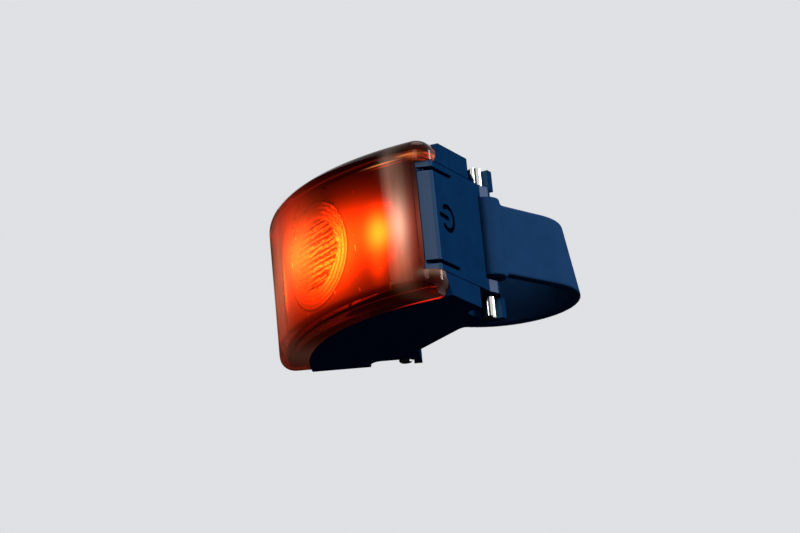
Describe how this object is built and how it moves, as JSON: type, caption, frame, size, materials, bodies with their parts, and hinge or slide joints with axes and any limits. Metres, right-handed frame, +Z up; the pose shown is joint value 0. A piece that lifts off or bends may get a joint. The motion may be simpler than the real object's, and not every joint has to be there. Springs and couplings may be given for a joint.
{
  "type": "bicycle tail light",
  "caption": "Wrap-around rear bicycle light with a ribbed optic behind a red lens, side power button, charging port and a silicone strap that holds it on a round seatpost.",
  "frame": {"origin": "on the seatpost's axis at the light's mid-height", "axes": "+Z up along the light's vertical, the lens faces -Y, the power button is on the +X side; the seatpost's axis leans 11 degrees from +Z towards -Y at its top"},
  "size_m": [0.0572, 0.0609, 0.0306],
  "materials": {
    "red_lens": "clear red moulded lens, polished",
    "blue_plastic": "dark blue moulded plastic, satin",
    "blue_rubber": "dark blue silicone, soft matt",
    "black_rubber": "black rubber, matt",
    "pin_steel": "ground and polished steel",
    "white_plastic": "white reflective plastic",
    "clear_optic": "clear moulded optic",
    "led_package": "LED package with phosphor emitter",
    "circuit_board": "circuit board with solder mask",
    "black_plastic": "black moulded plastic",
    "spacer_brass": "turned brass",
    "screw_steel": "zinc-plated steel",
    "cell_sleeve": "silver pouch cell",
    "tab_nickel": "nickel strip",
    "port_steel": "drawn steel shell"
  },
  "bodies": {
    "light": {"lens_cover": "red_lens", "lens_seal": "black_rubber", "housing": "blue_plastic", "saddle_pad": "black_rubber", "side_panel_right": "blue_plastic", "side_panel_left": "blue_plastic", "strap_pin_right": "pin_steel", "strap_pin_left": "pin_steel", "strap": "blue_rubber", "reflector_tray": "white_plastic", "main_optic": "clear_optic", "side_optic_right": "clear_optic", "side_optic_left": "clear_optic", "main_led": "led_package", "side_led_right": "led_package", "side_led_left": "led_package", "led_board": "circuit_board", "light_sensor": "black_plastic", "control_board": "circuit_board", "control_chip": "black_plastic", "board_spacers": "spacer_brass", "board_screws": "screw_steel", "battery_cell": "cell_sleeve", "cell_tabs": "tab_nickel", "switch_body": "black_plastic", "switch_board": "circuit_board", "charging_port": "port_steel", "port_board": "circuit_board"},
    "button": {"button_tongue": "blue_plastic"},
    "switch": {"switch_plunger": "black_plastic", "switch_boot": "black_rubber"},
    "flap": {"port_flap": "blue_rubber"}
  },
  "joints": [
    {"name": "button_press", "type": "hinge", "parent": "light", "child": "button", "pos_m": [0.02297, -0.02529, 0], "axis": [0, 0, -1], "range_deg": [0, 2], "stiffness_Nm_per_rad": 0.12},
    {"name": "switch_press", "type": "slide", "parent": "light", "child": "switch", "axis": [-0.8686, -0.4955, 0], "range_m": [0, 0.0001185]},
    {"name": "flap_open", "type": "hinge", "parent": "light", "child": "flap", "pos_m": [-0.02295, -0.02162, 0], "axis": [0, 0, -1], "range_deg": [0, 100], "stiffness_Nm_per_rad": 0.002}
  ],
  "couplings": [
    {"joint": "button_press", "follows": "switch_press", "rad_per_m": 294.1}
  ]
}
